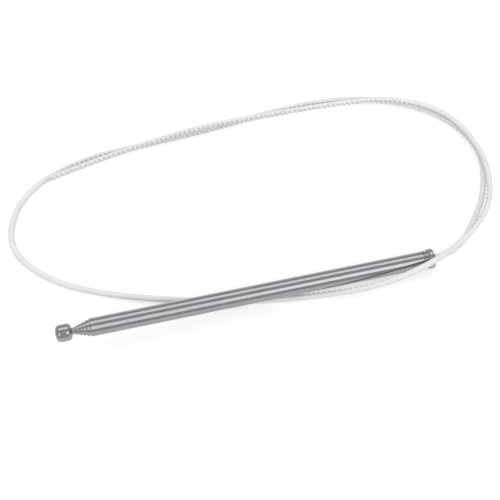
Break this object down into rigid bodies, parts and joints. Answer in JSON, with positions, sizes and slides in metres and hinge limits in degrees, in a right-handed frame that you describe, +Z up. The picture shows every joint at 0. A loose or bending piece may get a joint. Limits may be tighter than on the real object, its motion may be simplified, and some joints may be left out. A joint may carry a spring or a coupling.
{
  "type": "telescopic antenna mast",
  "caption": "Retracted telescopic car antenna mast: nested chromed tubes with rolled lips, a barrel tip, a flanged foot and a looped white toothed nylon drive cable.",
  "frame": {"origin": "middle of the mast's length, on the surface that it lies on", "axes": "+X along the mast from its barrel tip to its flanged foot, +Z up"},
  "size_m": [0.2861, 0.136, 0.0186],
  "materials": {
    "chrome_plate": "bright polished plating",
    "collar_steel": "bright turned steel",
    "spring_bronze": "plain spring bronze",
    "bush_plastic": "natural moulded plastic",
    "cable_nylon": "milky moulded nylon, slightly glossy"
  },
  "bodies": {
    "mast": {"mast_tube": "chrome_plate", "base_collar": "collar_steel", "collar_crimp_ring": "chrome_plate", "cable_guide_bush": "bush_plastic", "drive_cable": "cable_nylon"},
    "stage_5": {"stage_tube_5": "chrome_plate", "stage_5_shoe": "spring_bronze"},
    "stage_4": {"stage_tube_4": "chrome_plate", "stage_4_shoe": "spring_bronze"},
    "stage_3": {"stage_tube_3": "chrome_plate", "stage_3_shoe": "spring_bronze"},
    "stage_2": {"stage_tube_2": "chrome_plate", "stage_2_shoe": "spring_bronze"},
    "tip": {"tip_rod": "chrome_plate", "rod_shoe": "spring_bronze", "tip_button": "chrome_plate", "cable_ferrule": "spring_bronze", "inner_cable": "cable_nylon"}
  },
  "joints": [
    {"name": "stage_5_slide", "type": "slide", "parent": "mast", "child": "stage_5", "axis": [-0.9993, 0, 0.0384], "range_m": [0, 0.168]},
    {"name": "stage_4_slide", "type": "slide", "parent": "stage_5", "child": "stage_4", "axis": [-0.9993, 0, 0.0384], "range_m": [0, 0.17]},
    {"name": "stage_3_slide", "type": "slide", "parent": "stage_4", "child": "stage_3", "axis": [-0.9993, 0, 0.0384], "range_m": [0, 0.172]},
    {"name": "stage_2_slide", "type": "slide", "parent": "stage_3", "child": "stage_2", "axis": [-0.9993, 0, 0.0384], "range_m": [0, 0.174]},
    {"name": "tip_slide", "type": "slide", "parent": "stage_2", "child": "tip", "axis": [-0.9993, 0, 0.0384], "range_m": [0, 0.167]}
  ]
}
